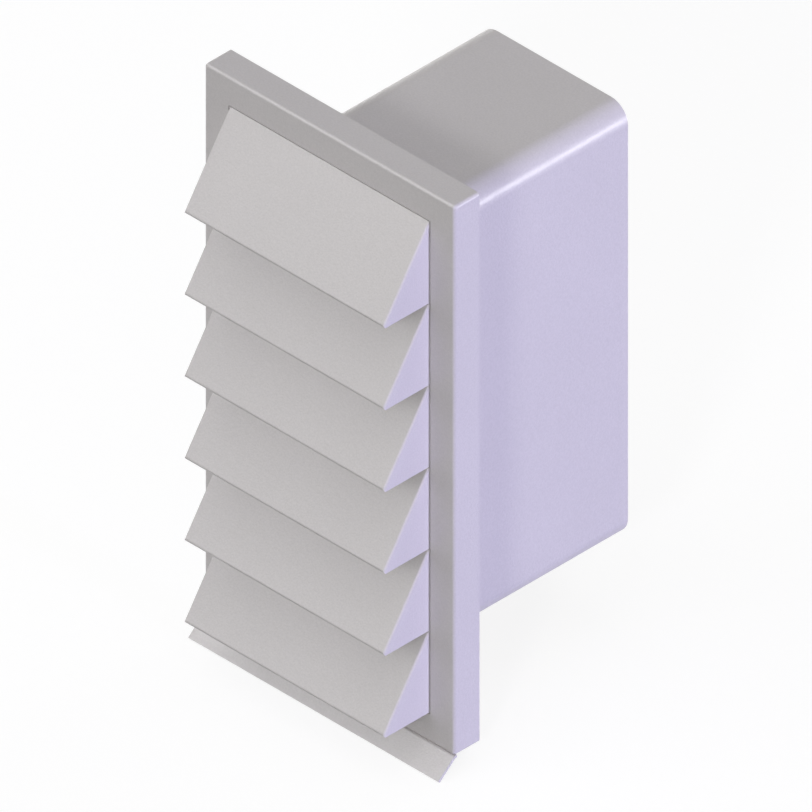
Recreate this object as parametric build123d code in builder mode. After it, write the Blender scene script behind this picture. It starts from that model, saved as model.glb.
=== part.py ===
from build123d import *
import math
import os

# Facade vent grille for a flat duct: a louvred sheet-metal cover on a wall plate with a spigot.
# Millimetres. X runs to the right as seen from outside, Y runs into the wall along the duct, Z is up.
# The wall surface is the plane Y = 0, and the middle of the duct is the Y axis.

# Cover: a folded tray with a window for the louvres
plate_width = 150.0
plate_height = 285.0
plate_depth = 15.0
cover_sheet = 1.2
border = 15.0
fold_inside_radius = 0.3

# Louvres: six folded blades that stand out of the window
louvre_count = 6
louvre_reach = 28.0
louvre_sheet = 0.8
louvre_gap = 0.4
louvre_lip = 6.0
louvre_upstand = 9.0
window_clearance = 0.5
fold_relief = 0.5
tab_edge_gap = 3.5

# Drip edge: a folded strip under the cover
drip_reach = 9.7
drip_drop = 8.4
drip_sheet = 1.2
drip_setback = 1.0
drip_leg_inset = 3.0

# Wall plate: a shallow tray that the cover slips over
wall_plate_sheet = 1.2
wall_plate_rim = 9.0
cover_fit = 0.4
wall_hole_diameter = 5.5

# Spigot: a flanged tube of rounded rectangular section, pushed into the duct
spigot_width = 88.0
spigot_height = 224.0
spigot_corner_radius = 10.0
spigot_length = 120.0
spigot_wall = 1.0
spigot_flange = 9.0
spigot_fit = 0.2

# Bird guard: welded wire mesh across the mouth of the spigot
guard_cell = 13.0
guard_wire = 1.6
guard_overlap = 5.0
guard_weld_sink = 0.5

# Cover screws and weld nuts, and the drain slots beside them
screw_spacing = 90.0
screw_diameter = 4.0
screw_length = 8.0
screw_head_diameter = 7.5
screw_head_height = 2.4
screw_head_chamfer = 0.8
screw_hole_diameter = 4.5
nut_across_flats = 7.0
nut_height = 3.2
nut_bore_clearance = 0.05
drain_spacing = 40.0
drain_length = 12.0
drain_width = 3.0

# Places that several pieces share
front_y = -plate_depth
face_back_y = front_y + cover_sheet
bottom_z = -plate_height / 2
cover_fold = fold_inside_radius + cover_sheet
louvre_fold = fold_inside_radius + louvre_sheet
drip_fold = fold_inside_radius + drip_sheet
wall_plate_fold = fold_inside_radius + wall_plate_sheet
spigot_fold = fold_inside_radius + spigot_wall

field_width = plate_width - 2 * border
field_height = plate_height - 2 * border
louvre_pitch = field_height / louvre_count
louvre_height = louvre_pitch - louvre_gap
louvre_inside_width = field_width - 2 * louvre_sheet - 2 * fold_relief
tab_width = border - cover_sheet - tab_edge_gap
slope_drop = louvre_sheet * math.hypot(louvre_reach, louvre_height) / louvre_reach
tip_setback = louvre_reach * (slope_drop + louvre_sheet) / louvre_height

wall_plate_width = plate_width - 2 * (cover_sheet + cover_fit)
wall_plate_height = plate_height - 2 * (cover_sheet + cover_fit)
rim_bottom_z = -wall_plate_height / 2
wall_hole_x = (spigot_width / 2 + spigot_flange + wall_plate_width / 2 - wall_plate_sheet) / 2
wall_hole_z = (spigot_height / 2 + spigot_flange + wall_plate_height / 2 - wall_plate_sheet) / 2
flange_front_y = -wall_plate_sheet - spigot_wall

screw_y = -(wall_plate_rim + wall_plate_fold) / 2
screw_places = [(-screw_spacing / 2, screw_y), (screw_spacing / 2, screw_y)]
drain_y = (face_back_y + fold_inside_radius - wall_plate_rim) / 2
drain_places = [(-drain_spacing / 2, drain_y), (drain_spacing / 2, drain_y)]
drip_leg_z = bottom_z - drip_sheet


def save(piece, name):
    """Labels a finished piece and writes its STEP file."""
    piece.part.label = name
    export_step(piece.part, f"parts/{name}.step")


os.makedirs("parts", exist_ok=True)

# Cover tray: front face, four returns folded back to the wall, and the louvre window
with BuildPart() as face_frame:
    with BuildSketch(Plane.XZ):
        Rectangle(plate_width, plate_height)
    extrude(amount=plate_depth)
    front_edges = face_frame.edges().group_by(Axis.Y)[0]
    corner_edges = face_frame.edges().filter_by(Axis.Y)
    fillet(front_edges + corner_edges, cover_fold)
    offset(amount=-cover_sheet, openings=face_frame.faces().sort_by(Axis.Y)[-1])
    with BuildSketch(Plane.XZ.offset(plate_depth)):
        Rectangle(field_width + 2 * window_clearance, field_height + 2 * window_clearance)
    extrude(amount=-cover_sheet, mode=Mode.SUBTRACT)
    with BuildSketch(Plane.XY.offset(bottom_z)):
        with Locations(*screw_places):
            Circle(screw_hole_diameter / 2)
        with Locations(*drain_places):
            SlotOverall(drain_length, drain_width)
    extrude(amount=cover_sheet, mode=Mode.SUBTRACT)
save(face_frame, "face_frame")


def folded_wedge(outline, width, radius):
    """Solid under a sloping face, rounded along the slope's two ends and its tip."""
    with BuildPart() as wedge:
        with BuildSketch(Plane.YZ):
            with BuildLine():
                Polyline(*outline, close=True)
            make_face()
        extrude(amount=width / 2, both=True)
        slope = wedge.faces().filter_by(lambda face: face.normal_at().Z > 0.1)[0]
        fillet(slope.edges().sort_by(Axis.Z)[:-1], radius)
    return wedge.part


def folded_louvre(top):
    """One blade: a sloping face with folded cheeks, fixing tabs, a rain upstand and a tip lip."""
    bottom = top - louvre_height
    tip_y = front_y - louvre_reach
    lip_y = tip_y + louvre_lip
    lip_top = bottom + louvre_sheet
    tab_back_y = face_back_y + louvre_sheet
    cheek_x = field_width / 2
    outside = [(front_y, top), (tip_y, bottom), (front_y, bottom)]
    inside = [
        (front_y, top - slope_drop),
        (front_y - louvre_reach + tip_setback, lip_top),
        (lip_y, lip_top),
        (lip_y, bottom),
        (front_y, bottom),
    ]
    wedge = folded_wedge(outside, field_width, louvre_fold)
    hollow = folded_wedge(inside, field_width - 2 * louvre_sheet, fold_inside_radius)
    with BuildPart() as louvre:
        # Slope, end cheeks and tip lip: a wedge hollowed from the back and from below
        add(wedge)
        add(hollow, mode=Mode.SUBTRACT)
        # Cheeks run back through the window and turn outwards as tabs behind the face
        with BuildSketch(Plane.XY.offset(bottom)) as tabs:
            with BuildLine():
                Polyline(
                    (cheek_x, front_y),
                    (cheek_x, face_back_y),
                    (cheek_x + tab_width, face_back_y),
                    (cheek_x + tab_width, tab_back_y),
                    (cheek_x - louvre_sheet, tab_back_y),
                    (cheek_x - louvre_sheet, front_y),
                    close=True,
                )
            make_face()
            heel = tabs.vertices().group_by(Axis.Y)[-1].sort_by(Axis.X)[0]
            fillet(heel, louvre_fold)
            mirror(about=Plane.YZ)
        extrude(amount=louvre_height)
        # Upstand behind the window, carried on a short level run from the top of the slope
        with BuildSketch(Plane.YZ) as upstand:
            with BuildLine():
                Polyline(
                    (front_y, top),
                    (face_back_y, top),
                    (face_back_y, top + louvre_upstand),
                    (tab_back_y, top + louvre_upstand),
                    (tab_back_y, top - louvre_sheet),
                    (front_y, top - louvre_sheet),
                    close=True,
                )
            make_face()
            heel = upstand.vertices().group_by(Axis.X)[-1].sort_by(Axis.Y)[0]
            fillet(heel, louvre_fold)
        extrude(amount=louvre_inside_width / 2, both=True)
    return louvre


for number in range(louvre_count):
    blade_top = field_height / 2 - number * louvre_pitch
    save(folded_louvre(blade_top), f"louvre_{number + 1}")

# Drip edge: a level leg under the cover and a lip that slopes forwards and down
with BuildPart() as drip_edge:
    with BuildSketch(Plane.YZ):
        with BuildLine():
            FilletPolyline(
                (-drip_setback, bottom_z),
                (front_y, bottom_z),
                (front_y - drip_reach, bottom_z - drip_drop),
                radius=drip_fold,
            )
            offset(amount=drip_sheet, side=Side.LEFT)
        make_face()
    extrude(amount=plate_width / 2, both=True)
    with BuildSketch(Plane.XY.offset(drip_leg_z)):
        with Locations(*screw_places):
            Circle(screw_hole_diameter / 2)
        with Locations(*drain_places):
            SlotOverall(drain_length, drain_width)
        with Locations((-plate_width / 2, 0), (plate_width / 2, 0)):
            Rectangle(2 * drip_leg_inset, plate_depth - drip_fold, align=(Align.CENTER, Align.MAX))
    extrude(amount=drip_sheet, mode=Mode.SUBTRACT)
save(drip_edge, "drip_edge")


def spigot_section(outside):
    """Rounded rectangle that lies this far outside the spigot's outer face."""
    return RectangleRounded(
        spigot_width + 2 * outside,
        spigot_height + 2 * outside,
        spigot_corner_radius + outside,
    )


# Wall plate: a tray open to the front, with holes for the spigot, the wall screws and the cover screws
with BuildPart() as wall_plate:
    with BuildSketch(Plane.XZ):
        Rectangle(wall_plate_width, wall_plate_height)
    extrude(amount=wall_plate_rim)
    fillet(wall_plate.edges().group_by(Axis.Y)[-1], wall_plate_fold)
    offset(amount=-wall_plate_sheet, openings=wall_plate.faces().sort_by(Axis.Y)[0])
    with BuildSketch(Plane.XZ):
        spigot_section(spigot_fit)
        with GridLocations(2 * wall_hole_x, 2 * wall_hole_z, 2, 2):
            Circle(wall_hole_diameter / 2)
    extrude(amount=wall_plate_sheet, mode=Mode.SUBTRACT)
    with BuildSketch(Plane.XY.offset(rim_bottom_z)):
        with Locations(*screw_places):
            Circle(screw_hole_diameter / 2)
    extrude(amount=wall_plate_sheet, mode=Mode.SUBTRACT)
save(wall_plate, "wall_plate")

# Spigot: the tube passes through the wall plate and its flange seats on the plate's front
with BuildPart() as duct_spigot:
    with BuildSketch(Plane.XZ.offset(-flange_front_y)):
        spigot_section(0)
    extrude(amount=flange_front_y - spigot_length)
    with BuildSketch(Plane.XZ.offset(-flange_front_y)):
        spigot_section(spigot_flange)
    extrude(amount=-spigot_wall)
    with BuildSketch(Plane.XZ.offset(-flange_front_y)):
        spigot_section(-spigot_wall)
    extrude(amount=flange_front_y - spigot_length, mode=Mode.SUBTRACT)
    front_face = duct_spigot.faces().sort_by(Axis.Y)[0]
    fillet(front_face.inner_wires()[0].edges(), spigot_fold)
save(duct_spigot, "duct_spigot")

# Bird guard: upright wires on the flange, level wires sunk into them at each weld
guard_columns = round((spigot_width - 2 * spigot_wall) / guard_cell)
guard_rows = round((spigot_height - 2 * spigot_wall) / guard_cell)
level_wire_back = guard_wire - guard_weld_sink - flange_front_y
with BuildPart() as bird_guard:
    with BuildSketch(Plane.XZ.offset(-flange_front_y)):
        with GridLocations(guard_cell, 0, guard_columns + 1, 1):
            Rectangle(guard_wire, spigot_height + 2 * guard_overlap)
    extrude(amount=guard_wire)
    with BuildSketch(Plane.XZ.offset(level_wire_back)):
        with GridLocations(0, guard_cell, 1, guard_rows + 1):
            Rectangle(spigot_width + 2 * guard_overlap, guard_wire)
    extrude(amount=guard_wire)
save(bird_guard, "bird_guard")

# Cover screws: pan heads under the drip edge, shanks up through the rim into the nuts
with BuildPart() as cover_screws:
    with BuildSketch(Plane.XY.offset(drip_leg_z)):
        with Locations(*screw_places):
            Circle(screw_head_diameter / 2)
    extrude(amount=-screw_head_height)
    chamfer(cover_screws.edges().group_by(Axis.Z)[0], screw_head_chamfer)
    with BuildSketch(Plane.XY.offset(drip_leg_z)):
        with Locations(*screw_places):
            Circle(screw_diameter / 2)
    extrude(amount=screw_length)
save(cover_screws, "cover_screws")

# Weld nuts on the inside of the wall plate's bottom rim
with BuildPart() as cover_nuts:
    with BuildSketch(Plane.XY.offset(rim_bottom_z + wall_plate_sheet)):
        with Locations(*screw_places):
            RegularPolygon(nut_across_flats / 2, 6, major_radius=False)
            Circle(screw_diameter / 2 + nut_bore_clearance, mode=Mode.SUBTRACT)
    extrude(amount=nut_height)
save(cover_nuts, "cover_nuts")
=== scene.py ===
# %% [markdown]
# The object is a louvred vent grille for an outside wall: a folded cover with six sloping blades, a drip
# edge below it, and a rounded spigot that goes back into a flat duct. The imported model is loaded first,
# because every piece made here is placed on it, in metres and in the same frame.

import math

import bpy
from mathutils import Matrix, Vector


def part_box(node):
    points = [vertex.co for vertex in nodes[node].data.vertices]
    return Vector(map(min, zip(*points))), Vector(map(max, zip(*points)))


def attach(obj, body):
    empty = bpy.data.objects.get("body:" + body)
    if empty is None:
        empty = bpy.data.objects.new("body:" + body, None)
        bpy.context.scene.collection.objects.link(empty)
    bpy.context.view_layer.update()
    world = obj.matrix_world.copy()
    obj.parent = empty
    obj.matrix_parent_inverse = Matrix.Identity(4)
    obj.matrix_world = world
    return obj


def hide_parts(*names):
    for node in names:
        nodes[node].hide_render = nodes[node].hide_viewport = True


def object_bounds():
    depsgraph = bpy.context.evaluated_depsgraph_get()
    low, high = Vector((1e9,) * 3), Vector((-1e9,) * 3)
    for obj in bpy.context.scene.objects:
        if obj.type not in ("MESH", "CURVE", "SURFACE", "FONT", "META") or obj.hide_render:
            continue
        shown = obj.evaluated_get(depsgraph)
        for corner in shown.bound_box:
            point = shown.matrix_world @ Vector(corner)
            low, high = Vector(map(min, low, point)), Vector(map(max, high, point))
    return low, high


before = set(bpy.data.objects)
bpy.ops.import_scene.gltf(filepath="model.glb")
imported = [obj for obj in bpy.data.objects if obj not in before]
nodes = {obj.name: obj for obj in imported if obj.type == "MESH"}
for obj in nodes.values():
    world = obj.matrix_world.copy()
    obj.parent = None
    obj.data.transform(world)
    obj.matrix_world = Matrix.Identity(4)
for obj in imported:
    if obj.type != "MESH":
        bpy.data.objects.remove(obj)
cad_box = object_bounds()
MM = 0.001
print("nodes:", sorted(nodes))
print("CAD box:", cad_box)

# %% [markdown]
# The picture is an isometric drawing: all three axes are shortened alike, and lines don't meet at a far
# point. An orthographic camera gives that, turned 45 degrees to the right of the front and raised until
# the view runs along the diagonal of a cube. A perspective camera from far away would come close, but it
# would never be quite parallel. The picture's scale comes from the ortho scale, and its place from one
# corner of the cover whose pixel is known.

# %% Where the camera aims
PICTURE_PIXELS = 812
PICTURE_WIDTH = 344.2 * MM
CORNER_PIXEL = (204.28, 62.96)

cover_low, cover_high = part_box("face_frame")
cover_corner = Vector((cover_low.x, cover_low.y, cover_high.z))
to_camera = Vector((1, -1, 1)).normalized()
view_right = Vector((1, 1, 0)).normalized()
view_up = to_camera.cross(view_right)

pixel = PICTURE_WIDTH / PICTURE_PIXELS
right_of_middle = (CORNER_PIXEL[0] - PICTURE_PIXELS / 2) * pixel
above_middle = (PICTURE_PIXELS / 2 - CORNER_PIXEL[1]) * pixel
aim_right = cover_corner.dot(view_right) - right_of_middle
aim_up = cover_corner.dot(view_up) - above_middle
aim = view_right * aim_right + view_up * aim_up
print("camera aims at", [round(c, 4) for c in aim])

# %% [markdown]
# With the aim known, the camera only has to stand far enough back along the diagonal and look down it. In
# an orthographic view the distance doesn't change the size of anything.

# %% Isometric camera
CAMERA_DISTANCE = 1.5

bpy.ops.object.select_all(action="DESELECT")
bpy.ops.object.camera_add(location=aim + to_camera * CAMERA_DISTANCE)
camera = bpy.context.object
camera.name = "isometric_camera"
camera.rotation_euler = to_camera.to_track_quat("Z", "Y").to_euler()
camera.data.type = "ORTHO"
camera.data.ortho_scale = PICTURE_WIDTH
camera.data.dof.use_dof = False
bpy.context.scene.camera = camera
print("camera stands at", [round(c, 3) for c in camera.location])

# %% [markdown]
# Every finish here starts the same way: a pattern in the metal or the paint moves the colour and the gloss
# a little. The pattern could be painted on an image, but one that is worked out from Object coordinates has
# its true size on every piece and shows no seam at a fold. These helpers start a finish, let a pattern move
# its tone and let a pattern move its gloss.

# %% Start of a finish
def new_finish(name):
    """A new material with its node tree, its shader and its place on the object."""
    finish = bpy.data.materials.new(name)
    finish.use_nodes = True
    tree = finish.node_tree
    place = tree.nodes.new("ShaderNodeTexCoord").outputs["Object"]
    return finish, tree, tree.nodes["Principled BSDF"], place


def vary_tone(tree, shader, pattern, dark, light, dark_until=0, light_from=1):
    """Lets a pattern move the colour from dark to light."""
    tone = tree.nodes.new("ShaderNodeValToRGB")
    dark_stop, light_stop = tone.color_ramp.elements
    dark_stop.position = dark_until
    light_stop.position = light_from
    dark_stop.color = (*dark, 1)
    light_stop.color = (*light, 1)
    tree.links.new(pattern, tone.inputs["Fac"])
    tree.links.new(tone.outputs["Color"], shader.inputs["Base Color"])


def vary_gloss(tree, shader, pattern, roughness, spread):
    """Lets a pattern move the roughness up and down by the spread."""
    gloss = tree.nodes.new("ShaderNodeMapRange")
    gloss.inputs["To Min"].default_value = roughness - spread
    gloss.inputs["To Max"].default_value = roughness + spread
    tree.links.new(pattern, gloss.inputs["Value"])
    tree.links.new(gloss.outputs["Result"], shader.inputs["Roughness"])


print("helpers: new_finish, vary_tone, vary_gloss")

# %% [markdown]
# Sheet steel on a facade is powder coated: a satin film with a fine grain, like very fine sand, over a
# slight orange peel. Each of those is a noise of its own size. The grain moves the tone, with a broad and
# faint drift added so that a large face isn't one flat colour. The peel moves the gloss, and peel and grain
# together give the bump.

# %% Powder-coat finish
DRIFT_PER_METRE = 18
PEEL_PER_METRE = 420
GRAIN_PER_METRE = 1150
DRIFT_SHARE = 1 / 3
PEEL_SHARE = 0.4
TONE_SPREAD = 0.05
TONE_STOPS = (0.40, 0.93)
GLOSS_SPREAD = 0.06
GRAIN_HEIGHT = 0.2 * MM
GRAIN_STRENGTH = 0.45


def noise(tree, place, cells_per_metre):
    """A noise with so many cells to the metre."""
    node = tree.nodes.new("ShaderNodeTexNoise")
    node.inputs["Scale"].default_value = cells_per_metre
    tree.links.new(place, node.inputs["Vector"])
    return node.outputs["Fac"]


def share_and_sum(tree, first, share, second):
    """A share of the first pattern, plus the second."""
    node = tree.nodes.new("ShaderNodeMath")
    node.operation = "MULTIPLY_ADD"
    node.inputs[1].default_value = share
    tree.links.new(first, node.inputs[0])
    tree.links.new(second, node.inputs[2])
    return node.outputs["Value"]


def powder_coat(name, colour, roughness):
    """Satin powder coat: fine grain, orange peel and a faint drift of tone."""
    finish, tree, shader, place = new_finish(name)
    drift = noise(tree, place, DRIFT_PER_METRE)
    peel = noise(tree, place, PEEL_PER_METRE)
    grain = noise(tree, place, GRAIN_PER_METRE)

    dark = [c * (1 - TONE_SPREAD) for c in colour]
    light = [c * (1 + TONE_SPREAD) for c in colour]
    vary_tone(tree, shader, share_and_sum(tree, drift, DRIFT_SHARE, grain), dark, light, *TONE_STOPS)
    vary_gloss(tree, shader, peel, roughness, GLOSS_SPREAD)

    bump = tree.nodes.new("ShaderNodeBump")
    bump.inputs["Strength"].default_value = GRAIN_STRENGTH
    bump.inputs["Distance"].default_value = GRAIN_HEIGHT
    tree.links.new(share_and_sum(tree, peel, PEEL_SHARE, grain), bump.inputs["Height"])
    tree.links.new(bump.outputs["Normal"], shader.inputs["Normal"])
    return finish


WARM_GREY = (0.60, 0.575, 0.575)
SATIN = 0.40
coat = powder_coat("warm_grey_powder_coat", WARM_GREY, SATIN)
print("coat:", coat.name)

# %% [markdown]
# Cover, louvres, drip edge, wall plate and spigot are coated in one go on the real object, so they share one
# finish. Only the wire guard and the fasteners stay bare metal. The forms of these nodes are right as they
# are, so they keep their meshes and only take the finish.

# %% Coat the folded sheets
BARE_NODES = ("bird_guard", "cover_screws", "cover_nuts")


def give_finish(piece, finish):
    """Puts one finish on a piece or on a CAD node."""
    piece.data.materials.clear()
    piece.data.materials.append(finish)


coated = sorted(name for name in nodes if name not in BARE_NODES)
for name in coated:
    give_finish(nodes[name], coat)
print("powder coated:", coated)

# %% [markdown]
# The wire of the bird guard is galvanised, and the screws and their nuts are stainless steel. Bare metal gets
# its look from what it mirrors, so the shader is metallic with a grey base. Zinc sets in small crystals, each
# with its own tone and gloss, and a Voronoi pattern gives such cells. Turned steel has much finer ones.

# %% Bare-metal finishes
CRYSTAL_GLOSS_SPREAD = 0.08


def bare_metal(name, dark, light, crystals_per_metre, roughness):
    """Metal whose crystals differ in tone and gloss."""
    finish, tree, shader, place = new_finish(name)
    shader.inputs["Metallic"].default_value = 1
    crystal = tree.nodes.new("ShaderNodeTexVoronoi")
    crystal.inputs["Scale"].default_value = crystals_per_metre
    tree.links.new(place, crystal.inputs["Vector"])
    vary_tone(tree, shader, crystal.outputs["Color"], dark, light)
    vary_gloss(tree, shader, crystal.outputs["Color"], roughness, CRYSTAL_GLOSS_SPREAD)
    return finish


galvanised = bare_metal(
    "galvanised_wire", dark=(0.42, 0.43, 0.44), light=(0.62, 0.63, 0.64),
    crystals_per_metre=900, roughness=0.42)
stainless = bare_metal(
    "stainless_steel", dark=(0.55, 0.54, 0.53), light=(0.64, 0.63, 0.62),
    crystals_per_metre=3000, roughness=0.30)
give_finish(nodes["cover_nuts"], stainless)
print("bare metals:", galvanised.name, stainless.name)

# %% [markdown]
# Blender's tools act on what is selected, so the new pieces share a few helpers. One opens a piece in edit
# mode with chosen faces selected: a test on each face, such as the way it points, finds the same faces at
# any size. One writes a piece's place into its mesh, so that its object sits at the origin like a CAD node.
# One repeats a piece with an Array modifier, which is how regular pieces are copied by hand.

# %% Helpers for modelling
def select_only(*pieces):
    """Selects these pieces and no others, the first one active."""
    bpy.ops.object.select_all(action="DESELECT")
    for piece in pieces:
        piece.select_set(True)
    bpy.context.view_layer.objects.active = pieces[0]


def edit_faces(piece, wanted):
    """Opens a piece in edit mode with only the wanted faces selected."""
    select_only(piece)
    bpy.context.tool_settings.mesh_select_mode = (False, False, True)
    bpy.ops.object.mode_set(mode="EDIT")
    bpy.ops.mesh.select_all(action="DESELECT")
    bpy.ops.object.mode_set(mode="OBJECT")
    for face in piece.data.polygons:
        face.select = wanted(face)
    bpy.ops.object.mode_set(mode="EDIT")


def settle(piece):
    """Writes a piece's place, turn and scale into its mesh."""
    select_only(piece)
    bpy.ops.object.transform_apply(location=True, rotation=True, scale=True)


def repeat(piece, count, step):
    """Repeats a piece along a step with an Array modifier, and applies it."""
    select_only(piece)
    array = piece.modifiers.new("repeat", "ARRAY")
    array.count = count
    array.use_relative_offset = False
    array.use_constant_offset = True
    array.constant_offset_displace = step
    bpy.ops.object.modifier_apply(modifier=array.name)


print("helpers: select_only, edit_faces, settle, repeat")

# %% [markdown]
# The bird guard is a welded mesh of round wire: eight wires stand against the spigot's flange, and eighteen
# lie across them. The CAD solid has square bars in their places. Here one wire of each direction is a
# cylinder whose cut ends are beveled, and the array repeats it at the mesh's pitch. A wireframe modifier on a
# grid would be shorter, but it would put all the wires in one plane.

# %% Guard wires
WIRE = 1.6 * MM
WIRE_SIDES = 12
WIRE_END_BEVEL = 0.25 * MM
WIRE_END_STEPS = 2
CELL = 13 * MM
UPRIGHTS = 8
LEVELS = 18

guard_low, guard_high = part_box("bird_guard")
upright_y = guard_high.y - WIRE / 2
level_y = guard_low.y + WIRE / 2
first_x = -CELL * (UPRIGHTS - 1) / 2
first_z = -CELL * (LEVELS - 1) / 2


def guard_wire(length, place, turn):
    """One round wire with softly broken ends."""
    bpy.ops.object.select_all(action="DESELECT")
    bpy.ops.mesh.primitive_cylinder_add(
        vertices=WIRE_SIDES, radius=WIRE / 2, depth=length, location=place, rotation=turn)
    wire = bpy.context.object
    edit_faces(wire, lambda face: len(face.vertices) == WIRE_SIDES)
    bpy.ops.mesh.bevel(offset=WIRE_END_BEVEL, segments=WIRE_END_STEPS)
    bpy.ops.object.mode_set(mode="OBJECT")
    settle(wire)
    return wire


uprights = guard_wire(guard_high.z - guard_low.z, (first_x, upright_y, 0), (0, 0, 0))
repeat(uprights, UPRIGHTS, (CELL, 0, 0))
levels = guard_wire(guard_high.x - guard_low.x, (0, level_y, first_z), (0, math.pi / 2, 0))
repeat(levels, LEVELS, (0, 0, CELL))
print("guard wires:", UPRIGHTS, "standing,", LEVELS, "lying")

# %% [markdown]
# Where two wires cross they are resistance welded: they sink a little into each other, and a small collar of
# metal is squeezed out round the joint. One collar is a small sphere, flattened between the wires, and two
# arrays carry it to every crossing. It has few faces, because there are 144 of them.

# %% Weld collars of the guard
COLLAR_RADIUS = 1.05 * MM
COLLAR_FLATNESS = 0.55
COLLAR_SEGMENTS = 8
COLLAR_RINGS = 5


def flatten(piece, factors):
    """Scales a piece's whole mesh about its own middle."""
    edit_faces(piece, lambda face: True)
    bpy.ops.transform.resize(value=factors)
    bpy.ops.object.mode_set(mode="OBJECT")
    settle(piece)


bpy.ops.object.select_all(action="DESELECT")
bpy.ops.mesh.primitive_uv_sphere_add(
    segments=COLLAR_SEGMENTS, ring_count=COLLAR_RINGS, radius=COLLAR_RADIUS,
    location=(first_x, (upright_y + level_y) / 2, first_z))
collars = bpy.context.object
flatten(collars, (1, COLLAR_FLATNESS, 1))
repeat(collars, UPRIGHTS, (CELL, 0, 0))
repeat(collars, LEVELS, (0, 0, CELL))
print("weld collars:", UPRIGHTS * LEVELS)

# %% [markdown]
# Wires and collars are one welded mesh on the real object, so they are joined. Shading is smooth along the
# round wires and breaks at their cut ends. The mesh rides on the one body and stands for the CAD guard.

# %% Guard mesh in one piece
WIRE_SMOOTH_ANGLE = 40


def join(pieces, name):
    """Joins pieces into one mesh under a plain name."""
    select_only(*pieces)
    bpy.ops.object.join()
    pieces[0].name = name
    pieces[0].data.name = name
    return pieces[0]


def smooth(piece, degrees):
    """Smooth shading, broken at edges sharper than the angle."""
    select_only(piece)
    bpy.ops.object.shade_smooth_by_angle(angle=math.radians(degrees))


guard = join([uprights, levels, collars], "guard_mesh")
smooth(guard, WIRE_SMOOTH_ANGLE)
give_finish(guard, galvanised)
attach(guard, "root")
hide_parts("bird_guard")
print("guard mesh faces:", len(guard.data.polygons))

# %% [markdown]
# Two pan-head screws hold the cover from below. The CAD heads have a plain chamfer, so here one screw starts
# again as the head's cylinder. Its lower rim is beveled round, which is what makes a pan head.

# %% Screw head
HEAD_RADIUS = 3.75 * MM
HEAD_HEIGHT = 2.4 * MM
HEAD_ROUND = 1.3 * MM
HEAD_ROUND_STEPS = 5
HEAD_SIDES = 32
LEVEL_FACE = 0.9

screw_low, screw_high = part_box("cover_screws")
screw_x = screw_low.x + HEAD_RADIUS
screw_y = (screw_low.y + screw_high.y) / 2


def looks_down(face):
    """Whether a face is level and looks down."""
    return face.normal.z < -LEVEL_FACE


bpy.ops.object.select_all(action="DESELECT")
bpy.ops.mesh.primitive_cylinder_add(
    vertices=HEAD_SIDES, radius=HEAD_RADIUS, depth=HEAD_HEIGHT,
    location=(screw_x, screw_y, screw_low.z + HEAD_HEIGHT / 2))
screw = bpy.context.object
settle(screw)
edit_faces(screw, looks_down)
bpy.ops.mesh.bevel(offset=HEAD_ROUND, segments=HEAD_ROUND_STEPS)
bpy.ops.object.mode_set(mode="OBJECT")
print("screw head faces:", len(screw.data.polygons))

# %% [markdown]
# The shank grows out of the head's upper side: the face is inset to the shank's size and extruded in short
# steps that shrink to the root of the thread and swell to its crest again. Rings look like a thread at this
# size, and they close without the loose ends of a helix.

# %% Threaded shank
SHANK_RADIUS = 2.0 * MM
THREAD_PITCH = 0.7 * MM
THREAD_ROOT = 0.84

shank_length = screw_high.z - screw_low.z - HEAD_HEIGHT
threads = int(shank_length / THREAD_PITCH)
half_thread = shank_length / threads / 2


def looks_up(face):
    """Whether a face is level and looks up."""
    return face.normal.z > LEVEL_FACE


edit_faces(screw, looks_up)
bpy.ops.mesh.inset(thickness=HEAD_RADIUS - SHANK_RADIUS)
for size in (THREAD_ROOT, 1 / THREAD_ROOT) * threads:
    bpy.ops.mesh.extrude_region_move(TRANSFORM_OT_translate={"value": (0, 0, half_thread)})
    bpy.ops.transform.resize(value=(size, size, 1))
bpy.ops.object.mode_set(mode="OBJECT")
print("screw with", threads, "threads, faces:", len(screw.data.polygons))

# %% [markdown]
# The cross recess is what a screwdriver turns. Each arm is a block that narrows towards the bottom of the
# recess, and a Boolean modifier takes it out of the head. The arms go one after the other, so each cut is
# simple and the mesh stays closed.

# %% Cross recess
RECESS_LENGTH = 4.4 * MM
RECESS_WIDTH = 1.1 * MM
RECESS_DEPTH = 1.5 * MM
RECESS_TAPER = 0.6
CUT_OVER = 0.5 * MM

recess_z = screw_low.z + (RECESS_DEPTH - CUT_OVER) / 2
for arm_size in ((RECESS_LENGTH, RECESS_WIDTH), (RECESS_WIDTH, RECESS_LENGTH)):
    bpy.ops.object.select_all(action="DESELECT")
    bpy.ops.mesh.primitive_cube_add(
        size=1, location=(screw_x, screw_y, recess_z), scale=(*arm_size, RECESS_DEPTH + CUT_OVER))
    arm = bpy.context.object
    settle(arm)
    edit_faces(arm, looks_up)
    bpy.ops.transform.resize(value=(RECESS_TAPER, RECESS_TAPER, 1))
    bpy.ops.object.mode_set(mode="OBJECT")

    select_only(screw)
    cut = screw.modifiers.new("recess", "BOOLEAN")
    cut.operation = "DIFFERENCE"
    cut.solver = "EXACT"
    cut.object = arm
    bpy.ops.object.modifier_apply(modifier=cut.name)
    bpy.data.objects.remove(arm)
print("recessed screw faces:", len(screw.data.polygons))

# %% [markdown]
# The second screw is a copy of the first, moved by the distance between the two CAD screws. Both are one
# piece here, as they share one node in the CAD.

# %% Second screw
HEAD_SMOOTH_ANGLE = 35

screw_spacing = screw_high.x - screw_low.x - 2 * HEAD_RADIUS
select_only(screw)
bpy.ops.object.duplicate()
second = bpy.context.object
bpy.ops.transform.translate(value=(screw_spacing, 0, 0))
settle(second)

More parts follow.
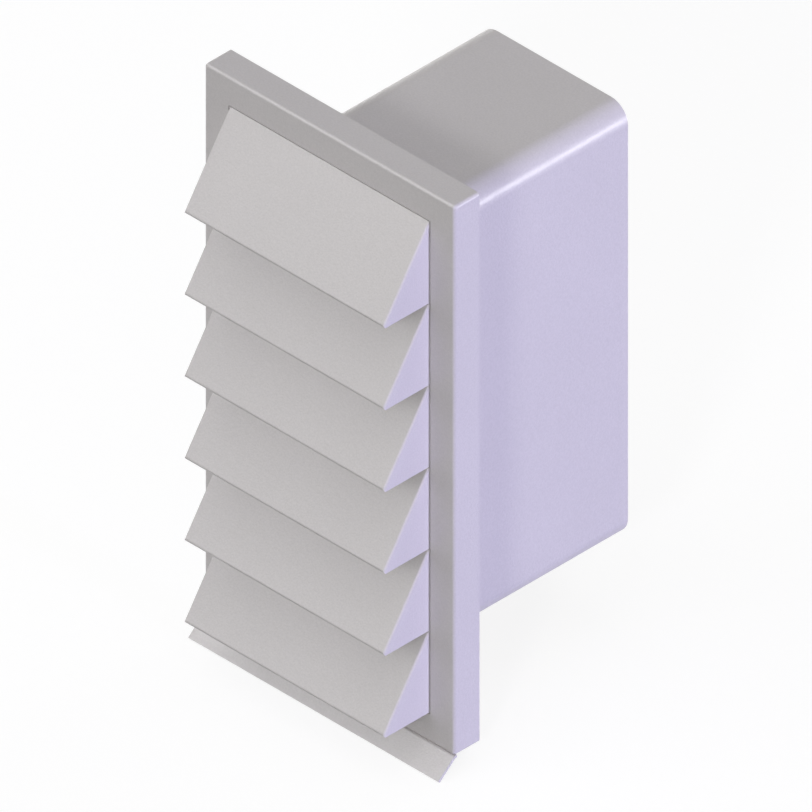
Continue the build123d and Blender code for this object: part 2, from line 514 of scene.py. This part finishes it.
screws = join([screw, second], "pan_head_screws")
smooth(screws, HEAD_SMOOTH_ANGLE)
give_finish(screws, stainless)
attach(screws, "root")
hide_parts("cover_screws")
print("screws faces:", len(screws.data.polygons))

# %% [markdown]
# The spigot is one sheet bent round and welded along the middle of its underside. The bead stands a few
# tenths of a millimetre proud under the paint and has the ripples of a weld run by hand. A plain half-round
# strip would look like a trim, so one ripple is a flattened sphere, and an array lays it along the seam, each
# ripple over the edge of the last.

# %% Weld seam under the spigot
RIPPLE_RADIUS = 1.3 * MM
RIPPLE_STEP = 1.15 * MM
RIPPLE_WIDTH = 1.7
RIPPLE_HEIGHT = 0.3
RIPPLE_SEGMENTS = 10
RIPPLE_RINGS = 5
SEAM_END = 3 * MM
SEAM_SMOOTH_ANGLE = 60
FLANGE = 9 * MM

spigot_low, spigot_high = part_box("duct_spigot")
tube_underside = spigot_low.z + FLANGE
seam_length = spigot_high.y - 2 * SEAM_END
ripples = int(seam_length / RIPPLE_STEP) + 1

bpy.ops.object.select_all(action="DESELECT")
bpy.ops.mesh.primitive_uv_sphere_add(
    segments=RIPPLE_SEGMENTS, ring_count=RIPPLE_RINGS, radius=RIPPLE_RADIUS,
    location=(0, SEAM_END, tube_underside))
seam = bpy.context.object
flatten(seam, (RIPPLE_WIDTH, 1, RIPPLE_HEIGHT))
repeat(seam, ripples, (0, RIPPLE_STEP, 0))
seam.name = "spigot_weld_seam"
seam.data.name = seam.name
smooth(seam, SEAM_SMOOTH_ANGLE)
give_finish(seam, coat)
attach(seam, "root")
print("weld seam ripples:", ripples, "faces:", len(seam.data.polygons))

# %% [markdown]
# The stage is a plain pale floor. It shows nearly white to the camera and in gloss, by a glow that only those
# rays see, and it still takes the object's soft shadow. Lamps could light a white floor just as pale, but it
# would throw their light back up at the object.

# %% Floor finish
WHITE = (1, 1, 1)
FLOOR_GREY = (0.20, 0.20, 0.20)
FLOOR_GLOW = 0.86


def ray_is_seen(tree):
    """One for rays from the camera, off gloss and through glass, and zero for rays that gather soft light."""
    path = tree.nodes.new("ShaderNodeLightPath")
    seen = path.outputs["Is Camera Ray"]
    for kind in ("Is Glossy Ray", "Is Transmission Ray"):
        either = tree.nodes.new("ShaderNodeMath")
        either.operation = "MAXIMUM"
        tree.links.new(seen, either.inputs[0])
        tree.links.new(path.outputs[kind], either.inputs[1])
        seen = either.outputs["Value"]
    return seen


pale = bpy.data.materials.new("pale_floor")
pale.use_nodes = True
floor_tree = pale.node_tree
floor_shader = floor_tree.nodes["Principled BSDF"]
floor_shader.inputs["Base Color"].default_value = (*FLOOR_GREY, 1)
floor_shader.inputs["Roughness"].default_value = 1
floor_shader.inputs["Specular IOR Level"].default_value = 0
floor_shader.inputs["Emission Color"].default_value = (*WHITE, 1)
glow = floor_tree.nodes.new("ShaderNodeMath")
glow.operation = "MULTIPLY"
glow.inputs[1].default_value = FLOOR_GLOW
floor_tree.links.new(ray_is_seen(floor_tree), glow.inputs[0])
floor_tree.links.new(glow.outputs["Value"], floor_shader.inputs["Emission Strength"])
print("floor finish:", pale.name)

# %% [markdown]
# From below, the floor would hide the object, and its underside is worth a look too. So the floor's shader is
# mixed with a clear one, and the side that a ray meets chooses between the two.

# %% Clear from below
clear = floor_tree.nodes.new("ShaderNodeBsdfTransparent")
side = floor_tree.nodes.new("ShaderNodeNewGeometry")
either_side = floor_tree.nodes.new("ShaderNodeMixShader")
floor_tree.links.new(side.outputs["Backfacing"], either_side.inputs["Fac"])
floor_tree.links.new(floor_shader.outputs["BSDF"], either_side.inputs[1])
floor_tree.links.new(clear.outputs["BSDF"], either_side.inputs[2])
floor_tree.links.new(either_side.outputs["Shader"], floor_tree.nodes["Material Output"].inputs["Surface"])
print("nodes in the floor finish:", len(floor_tree.nodes))

# %% [markdown]
# The floor itself is one wide plane at the object's lowest point. It belongs to the stage and not to the
# object. It is wide enough that the picture never shows its edge from the drawing's side.

# %% Floor
FLOOR_SIZE = 6

bpy.ops.object.select_all(action="DESELECT")
bpy.ops.mesh.primitive_plane_add(size=FLOOR_SIZE, location=(0, 0, cad_box[0][2]))
floor = bpy.context.object
floor.name = "floor"
give_finish(floor, pale)
print("floor at height", round(floor.location.z, 4))

# %% [markdown]
# The drawing gives each direction one tone: the front is the darkest, tops are a little lighter, slopes are
# lighter still, and faces to the right are a cool lavender. Lamps as far away as the sun light each direction
# evenly, where a near lamp would fade across a face. A wide sky from the front and above softens every
# crease, with a small lamp overhead for the tops, and a key from the front right lays the cover's shadow on
# the spigot.

# %% Sky and key
def sun(name, direction, strength, degrees, colour=WHITE, without=()):
    """A far lamp that looks as wide as the degrees, without some of shadow, gloss and diffuse light."""
    bpy.ops.object.light_add(type="SUN", location=direction)
    lamp = bpy.context.object
    lamp.name = name
    lamp.rotation_euler = Vector(direction).to_track_quat("Z", "Y").to_euler()
    lamp.data.energy = strength
    lamp.data.color = colour
    lamp.data.angle = math.radians(degrees)
    lamp.data.use_shadow = "shadow" not in without
    lamp.visible_glossy = "gloss" not in without
    lamp.visible_diffuse = "diffuse" not in without
    print("lamp", name, "of strength", strength)


sun("sky", (0.0, -0.40, 0.92), strength=1.1, degrees=100)
sun("overhead", (0.03, -0.10, 0.99), strength=0.16, degrees=30)
sun("key", (0.46, -0.77, 0.44), strength=0.72, degrees=8)

# %% [markdown]
# Satin paint mirrors a little, so a face looks lighter where it mirrors a lamp to the camera. These lamps
# stand where the slopes and the drip edge do that, which lightens them more than the front. Part of the
# slopes' sheen casts no shadow, so that the lower louvres stay nearly as light as the first one. The drip
# edge lies under the lowest louvre, so its sheen casts no shadow at all, and it gives gloss alone.

# %% Sheens
SLOPE_SHEEN_FROM = (-0.577, -0.767, 0.285)
DRIP_SHEEN_FROM = (-0.577, -0.531, 0.618)

sun("slope_sheen", SLOPE_SHEEN_FROM, strength=0.35, degrees=40)
sun("slope_sheen_fill", SLOPE_SHEEN_FROM, strength=0.3, degrees=20, without=("shadow",))
sun("drip_sheen", DRIP_SHEEN_FROM, strength=0.95, degrees=12, without=("shadow", "diffuse"))

# %% [markdown]
# The right side takes its lavender from a coloured lamp. It gives no gloss, because at a low angle that would
# bleach the flat tops. The rim lamp gives gloss alone and stands where the rounded edges mirror it to the
# camera, so that these gleam. Two fills keep the left and the back clear, and a faint lamp from below stands
# for what a pale room sends back up.

# %% Right side and fills
LAVENDER = (0.66, 0.635, 1.0)

sun("cool_side", (1.0, 0.03, 0.05), strength=2.83, degrees=5, colour=LAVENDER, without=("gloss",))
sun("rim", (0.80, 0.58, -0.08), strength=1.9, degrees=8, without=("shadow", "diffuse"))
sun("back_fill", (0.1, 0.99, -0.05), strength=2.0, degrees=30)
sun("left_fill", (-0.96, 0.25, -0.05), strength=1.7, degrees=30)
sun("bounce", (0.05, -0.15, -0.98), strength=0.35, degrees=60, without=("shadow",))

# %% [markdown]
# The world is white where it is seen, behind the floor's edge and in gloss, and only a faint fill as light.
# The Standard view shows each colour about as it is written.

# %% World and view
WORLD_SEEN = 1
WORLD_LIGHT = 0.03

world = bpy.data.worlds.new("studio")
bpy.context.scene.world = world
world.use_nodes = True
world_tree = world.node_tree
background = world_tree.nodes["Background"]
background.inputs["Color"].default_value = (*WHITE, 1)
brightness = world_tree.nodes.new("ShaderNodeMapRange")
brightness.inputs["To Min"].default_value = WORLD_LIGHT
brightness.inputs["To Max"].default_value = WORLD_SEEN
world_tree.links.new(ray_is_seen(world_tree), brightness.inputs["Value"])
world_tree.links.new(brightness.outputs["Result"], background.inputs["Strength"])
bpy.context.scene.view_settings.view_transform = "Standard"
print("world:", world.name)
